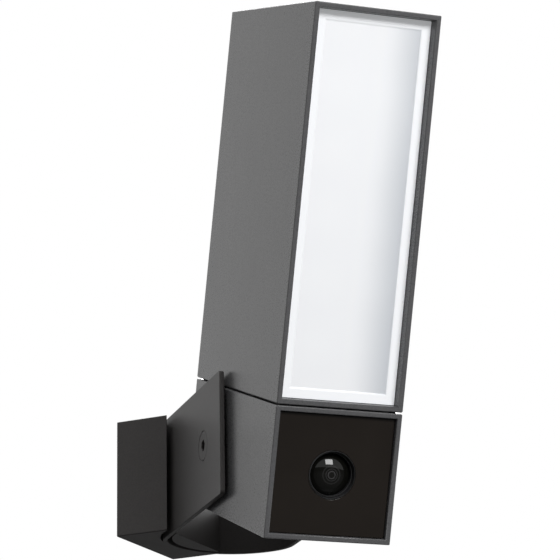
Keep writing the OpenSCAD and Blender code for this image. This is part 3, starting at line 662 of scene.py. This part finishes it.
class FLOODLIGHT_OT_small_metal(Operator):
    """Pivot screws, hatch and the screws that show"""

    bl_idname = "floodlight.small_metal"
    bl_label = "Pivots, hatch and screws"

    def execute(self, context):
        finishes, edges = context.scene.floodlight_finishes, context.scene.floodlight_edges
        rows = (("pivot_screws", "tilt_pivots", HEAD_PLACE, HEAD, "base_paint", edges.pivot),
                ("card_hatch", "memory_card_hatch", HEAD_PLACE, HEAD, "graphite_paint", edges.small),
                ("hatch_screws", "hatch_screw_pair", HEAD_PLACE, HEAD, "steel", edges.small),
                ("clamp_screws", "clamp_screw_pair", WALL_PLACE, WALL, "steel", edges.small))
        for node, name, place, body, slot, width in rows:
            shape = copy_of(node, place)
            soften(shape, sharp_edges(shape, SHARP), width, steps=2)
            make_piece(name, shape, place, body, slot_finish(slot, finishes), [node])
        return {"FINISHED"}


class FLOODLIGHT_OT_diffuser(Operator):
    """Milky plate with a raised border over the lamp's tray"""

    bl_idname = "floodlight.diffuser"
    bl_label = "Diffuser"

    def execute(self, context):
        finishes = context.scene.floodlight_finishes
        low, high = own_box("diffuser", HEAD_PLACE)
        shape = box_shape(low, high)
        front = [face for face in shape.faces if face.normal.y < -0.9]
        step_width, step_depth = 0.5 * MM, 0.25 * MM
        bmesh.ops.inset_region(shape, faces=front, thickness=finishes.diffuser_border, depth=0,
                               use_even_offset=True)
        bmesh.ops.inset_region(shape, faces=front, thickness=step_width, depth=-step_depth,
                               use_even_offset=True)
        soften(shape, sharp_edges(shape, 20), 0.25 * MM, steps=2)
        make_piece("lamp_diffuser", shape, HEAD_PLACE, HEAD,
                   diffuser_light("milky_plate", HEAD_PLACE, low, high, finishes), ["diffuser"])
        return {"FINISHED"}


class FLOODLIGHT_OT_front_glass(Operator):
    """Black glass in front of the camera module"""

    bl_idname = "floodlight.front_glass"
    bl_label = "Front glass"

    def execute(self, context):
        finish = slot_finish("black_glass", context.scene.floodlight_finishes)
        shape = copy_of("front_glass", HEAD_PLACE)
        soften(shape, sharp_edges(shape, SHARP), context.scene.floodlight_edges.glass, steps=2)
        make_piece("camera_front_glass", shape, HEAD_PLACE, HEAD, finish, ["front_glass"])
        return {"FINISHED"}


class FLOODLIGHT_OT_lens(Operator):
    """Lens behind the glass: grooved bezel, retaining ring and domed front element"""

    bl_idname = "floodlight.lens"
    bl_label = "Lens"

    def execute(self, context):
        details, finishes = context.scene.floodlight_lens, context.scene.floodlight_finishes
        bezel_low, bezel_high = own_box("lens_bezel", HEAD_PLACE)
        barrel_low, barrel_high = own_box("lens_barrel", HEAD_PLACE)
        glass_low, glass_high = own_box("lens_front_element", HEAD_PLACE)
        centre = Vector(((glass_low.x + glass_high.x) / 2, 0, (glass_low.z + glass_high.z) / 2))
        flange, head_r = (bezel_high.x - bezel_low.x) / 2, (barrel_high.x - barrel_low.x) / 2
        glass_r = (glass_high.x - glass_low.x) / 2
        black = moulded("black_lens_metal", finishes.plastic, 0.42, grain_size=0.3 * MM,
                        grain_depth=0.01 * MM)
        coating = lens_coating("coated_lens", HEAD_PLACE, centre, glass_r, finishes)
        surround = self.surround(bezel_low.y, bezel_high.y, flange, head_r + 0.15 * MM,
                                 details.ring_grooves)
        tube = self.tube(barrel_low.y, barrel_high.y, head_r, glass_r + 0.05 * MM)
        glass = self.glass(glass_low.y, glass_high.y, glass_r, details.seat)
        make_piece("lens_surround", turned(surround, centre), HEAD_PLACE, HEAD, black,
                   ["lens_bezel"], smooth=25)
        make_piece("lens_tube", turned(tube, centre), HEAD_PLACE, HEAD, black,
                   ["lens_barrel"], smooth=25)
        make_piece("lens_glass", turned(glass, centre), HEAD_PLACE, HEAD, coating,
                   ["lens_front_element"], smooth=50)
        return {"FINISHED"}

    def surround(self, near, far, flange, throat_r, grooves):
        """The bezel's profile: a shallow cone with anti-glare steps, and a flange behind it."""
        tip_r, wall_r = flange - 1.8 * MM, flange - 1.6 * MM
        cone_end = near + 1.6 * MM
        profile = [(tip_r, near)]
        for i in range(grooves):
            share = (i + 1) / (grooves + 1)
            radius, y = tip_r + (throat_r - tip_r) * share, near + (cone_end - near) * share
            profile += [(radius + 0.04 * MM, y - 0.1 * MM), (radius, y + 0.1 * MM)]
        profile += [(throat_r, cone_end), (throat_r, far), (wall_r, far), (wall_r, far - 1.0 * MM)]
        profile += [(flange, far - 1.0 * MM), (flange, far - 1.4 * MM), (wall_r, far - 1.4 * MM)]
        profile += [(wall_r, near + 0.1 * MM), (wall_r - 0.1 * MM, near)]
        return profile

    def tube(self, near, far, head_r, inner_r):
        """The barrel's profile: a rounded retaining ring in front of a narrower tube."""
        middle_r, tube_r = (inner_r + head_r) / 2, head_r - 1.2 * MM
        profile = [(inner_r, near + 0.3 * MM), (middle_r - 0.1 * MM, near), (middle_r + 0.1 * MM, near)]
        profile += [(head_r, near + 0.4 * MM), (head_r, near + 6 * MM), (tube_r, near + 6 * MM)]
        profile += [(tube_r, far), (tube_r - 1 * MM, far), (tube_r - 1 * MM, near + 3 * MM)]
        profile += [(inner_r, near + 2.8 * MM)]
        return profile

    def glass(self, near, far, radius, seat):
        """The front element's profile: a dome over a short rim."""
        bulge = far - seat - near
        dome_r = (radius ** 2 + bulge ** 2) / (2 * bulge)
        arcs, full = 16, asin(min(1, radius / dome_r))
        profile = [(dome_r * sin(full * i / arcs), near + dome_r * (1 - cos(full * i / arcs)))
                   for i in range(arcs)]
        profile += [(radius, far - seat), (radius, far), (0, far)]
        return profile


class FLOODLIGHT_OT_gland(Operator):
    """Cable gland with a ribbed collar on the camera module's rear"""

    bl_idname = "floodlight.gland"
    bl_label = "Cable gland"

    def execute(self, context):
        low, high = own_box("cable_gland", HEAD_PLACE)
        _, casing = own_box("camera_housing", HEAD_PLACE)
        centre = Vector(((low.x + high.x) / 2, 0, (low.z + high.z) / 2))
        face, rear, rib_height, rib_count = casing.y, high.y, 0.5 * MM, 16
        collar_r, bore_r = (high.x - low.x) / 2 - rib_height, mount("gland_bore")["dims"]["r_mm"] * MM
        body_r = collar_r - 0.9 * MM
        profile = [(bore_r, low.y), (body_r, low.y), (body_r, face), (collar_r, face)]
        profile += [(collar_r, rear - 1.8 * MM), (collar_r - 0.5 * MM, rear - 1 * MM)]
        profile += [(collar_r - 1.2 * MM, rear - 0.3 * MM), (bore_r + 0.6 * MM, rear)]
        profile += [(bore_r, rear - 0.5 * MM)]
        ribs = []
        for i in range(rib_count):
            rib = box_shape((-0.45 * MM, face, collar_r - 0.2 * MM),
                            (0.45 * MM, rear - 2 * MM, collar_r + rib_height))
            soften(rib, sharp_edges(rib, SHARP), 0.18 * MM, steps=2)
            bmesh.ops.rotate(rib, cent=(0, 0, 0), matrix=Matrix.Rotation(2 * pi * i / rib_count, 3, "Y"),
                             verts=rib.verts)
            bmesh.ops.translate(rib, vec=centre, verts=rib.verts)
            ribs.append(rib)
        make_piece("cable_gland_collar", joined(turned(profile, centre, 64), *ribs), HEAD_PLACE, HEAD,
                   slot_finish("black_plastic", context.scene.floodlight_finishes),
                   ["cable_gland"])
        return {"FINISHED"}


class FLOODLIGHT_OT_inner_pieces(Operator):
    """Finishes of the CAD pieces that stay: boards, seals, fasteners, tray, spreader and transformer"""

    bl_idname = "floodlight.inner_pieces"
    bl_label = "Inner pieces"

    def execute(self, context):
        finishes = context.scene.floodlight_finishes
        for row in frame["record"]["subparts"]:
            mesh = frame["nodes"][row["node"]].data
            material = slot_finish(row["material_slot"], finishes)
            if not mesh.materials:
                mesh.materials.append(material)
            for slot in frame["nodes"][row["node"]].material_slots:
                slot.material = material
        return {"FINISHED"}


class FLOODLIGHT_OT_stage(Operator):
    """Pale floor, soft light, white surroundings and the camera"""

    bl_idname = "floodlight.stage"
    bl_label = "Stage"

    def execute(self, context):
        stage = context.scene.floodlight_stage
        self.make_floor(stage)
        self.make_world(context.scene, stage)
        self.make_lights(stage)
        self.make_camera(context.scene, stage)
        context.scene.view_settings.view_transform = "Standard"
        return {"FINISHED"}

    def make_floor(self, stage):
        """A level floor that shows white to the camera and keeps the object's shadow."""
        shape = bmesh.new()
        bmesh.ops.create_grid(shape, x_segments=1, y_segments=1, size=stage.floor_size / 2)
        bmesh.ops.translate(shape, vec=(0, 0, -stage.floor_drop), verts=shape.verts)
        mesh = bpy.data.meshes.new("floor")
        shape.to_mesh(mesh)
        shape.free()
        finish = Finish("pale_floor", **{"Roughness": 0.9, "Emission Strength": 1.0})
        seen = finish.node("ShaderNodeLightPath")["Is Camera Ray"]
        below = finish.node("ShaderNodeNewGeometry")["Backfacing"]
        finish.drive(Base_Color=finish.mix(seen, shade(stage.floor_colour, stage.floor_bounce),
                                           stage.floor_colour),
                     Emission_Color=finish.mix(seen, (0, 0, 0), shade((1, 1, 1), stage.floor_glow)),
                     Alpha=1 - below)
        mesh.materials.append(finish.material)
        floor = bpy.data.objects.new("floor", mesh)
        bpy.context.scene.collection.objects.link(floor)

    def make_world(self, scene, stage):
        """Soft surroundings that look white in the picture, in gloss and through glass."""
        world = bpy.data.worlds.new("surroundings")
        scene.world = world
        nodes = Nodes(world)
        rays = nodes.node("ShaderNodeLightPath")
        seen = rays["Is Camera Ray"].larger(rays["Is Glossy Ray"]).larger(rays["Is Transmission Ray"])
        soft = nodes.node("ShaderNodeBackground", {}, {
            "Color": (1, 1, 1), "Strength": stage.world_level})
        white = nodes.node("ShaderNodeBackground", {}, {"Color": (1, 1, 1), "Strength": 1.0})
        choice = nodes.node("ShaderNodeMixShader", {}, {
            "Fac": seen, "Shader": soft["Background"], "Shader_001": white["Background"]})
        nodes.node("ShaderNodeOutputWorld", {}, {"Surface": choice["Shader"]})

    def make_lights(self, stage):
        """Four soft lights that face the middle of the object.

        Each row gives a light's name, power, width and height, distance, azimuth and rise in degrees.
        """
        middle = (cad_box[0] + cad_box[1]) / 2
        rows = (("key_light", stage.key_power, (0.9, 0.9), 1.2, 80, 70),
                ("front_light", stage.front_power, (0.74, 0.52), 1.7, 37.6, 14.8),
                ("fill_light", stage.fill_power, (2.5, 2.5), 3.2, -70, 25),
                ("back_light", stage.back_power, (1.2, 1.2), 2.5, -105, 30))
        for name, power, (width, height), distance, azimuth, rise in rows:
            light = bpy.data.lights.new(name, "AREA")
            light.shape = "RECTANGLE"
            light.energy, light.size, light.size_y = power, width, height
            turn, rise = radians(azimuth), radians(rise)
            away = Vector((-sin(turn) * cos(rise), -cos(turn) * cos(rise), sin(rise)))
            lamp = bpy.data.objects.new(name, light)
            lamp.location = middle + away * distance
            lamp.rotation_euler = away.to_track_quat("Z", "Y").to_euler()
            bpy.context.scene.collection.objects.link(lamp)

    def make_camera(self, scene, stage):
        """A long lens that looks up at the head from its left."""
        turn, rise, roll = stage.azimuth, stage.elevation, stage.roll
        right = Vector((cos(turn), sin(turn), 0))
        back = Vector((sin(turn) * cos(rise), -cos(turn) * cos(rise), sin(rise)))
        up = back.cross(right)
        x_axis, y_axis = cos(roll) * right + sin(roll) * up, cos(roll) * up - sin(roll) * right
        data = bpy.data.cameras.new("view")
        data.lens, data.sensor_width = stage.lens, 36
        data.clip_start, data.clip_end = 0.05, 50
        camera = bpy.data.objects.new("view", data)
        place = Matrix((x_axis, y_axis, back)).transposed().to_4x4()
        place.translation = Vector(stage.target) + back * stage.distance
        camera.matrix_world = place
        scene.collection.objects.link(camera)
        scene.camera = camera


OPERATORS = (FLOODLIGHT_OT_stage, FLOODLIGHT_OT_inner_pieces, FLOODLIGHT_OT_casings,
             FLOODLIGHT_OT_bracket, FLOODLIGHT_OT_wall_base, FLOODLIGHT_OT_small_metal,
             FLOODLIGHT_OT_diffuser, FLOODLIGHT_OT_front_glass, FLOODLIGHT_OT_lens,
             FLOODLIGHT_OT_gland)


class FLOODLIGHT_PT_pieces(Panel):
    """The settings and the steps that build the camera"""

    bl_idname = "FLOODLIGHT_PT_pieces"
    bl_label = "Floodlight camera"
    bl_space_type = "VIEW_3D"
    bl_region_type = "UI"
    bl_category = "Floodlight"

    def draw(self, context):
        layout = self.layout
        for name, group in SETTINGS.items():
            column = layout.box().column()
            for setting in group.__annotations__:
                column.prop(getattr(context.scene, name), setting)
        for operator in OPERATORS:
            layout.operator(operator.bl_idname)


def register():
    """Adds the settings, the operators and the panel."""
    for group in SETTINGS.values():
        bpy.utils.register_class(group)
    for name, group in SETTINGS.items():
        setattr(bpy.types.Scene, name, PointerProperty(type=group))
    for cls in (*OPERATORS, FLOODLIGHT_PT_pieces):
        bpy.utils.register_class(cls)


def unregister():
    """Removes them again."""
    for cls in reversed((*OPERATORS, FLOODLIGHT_PT_pieces)):
        bpy.utils.unregister_class(cls)
    for name, group in SETTINGS.items():
        delattr(bpy.types.Scene, name)
        bpy.utils.unregister_class(group)


def main():
    """Builds everything."""
    register()
    for operator in OPERATORS:
        family, name = operator.bl_idname.split(".")
        getattr(getattr(bpy.ops, family), name)()


if __name__ == "__main__":
    main()
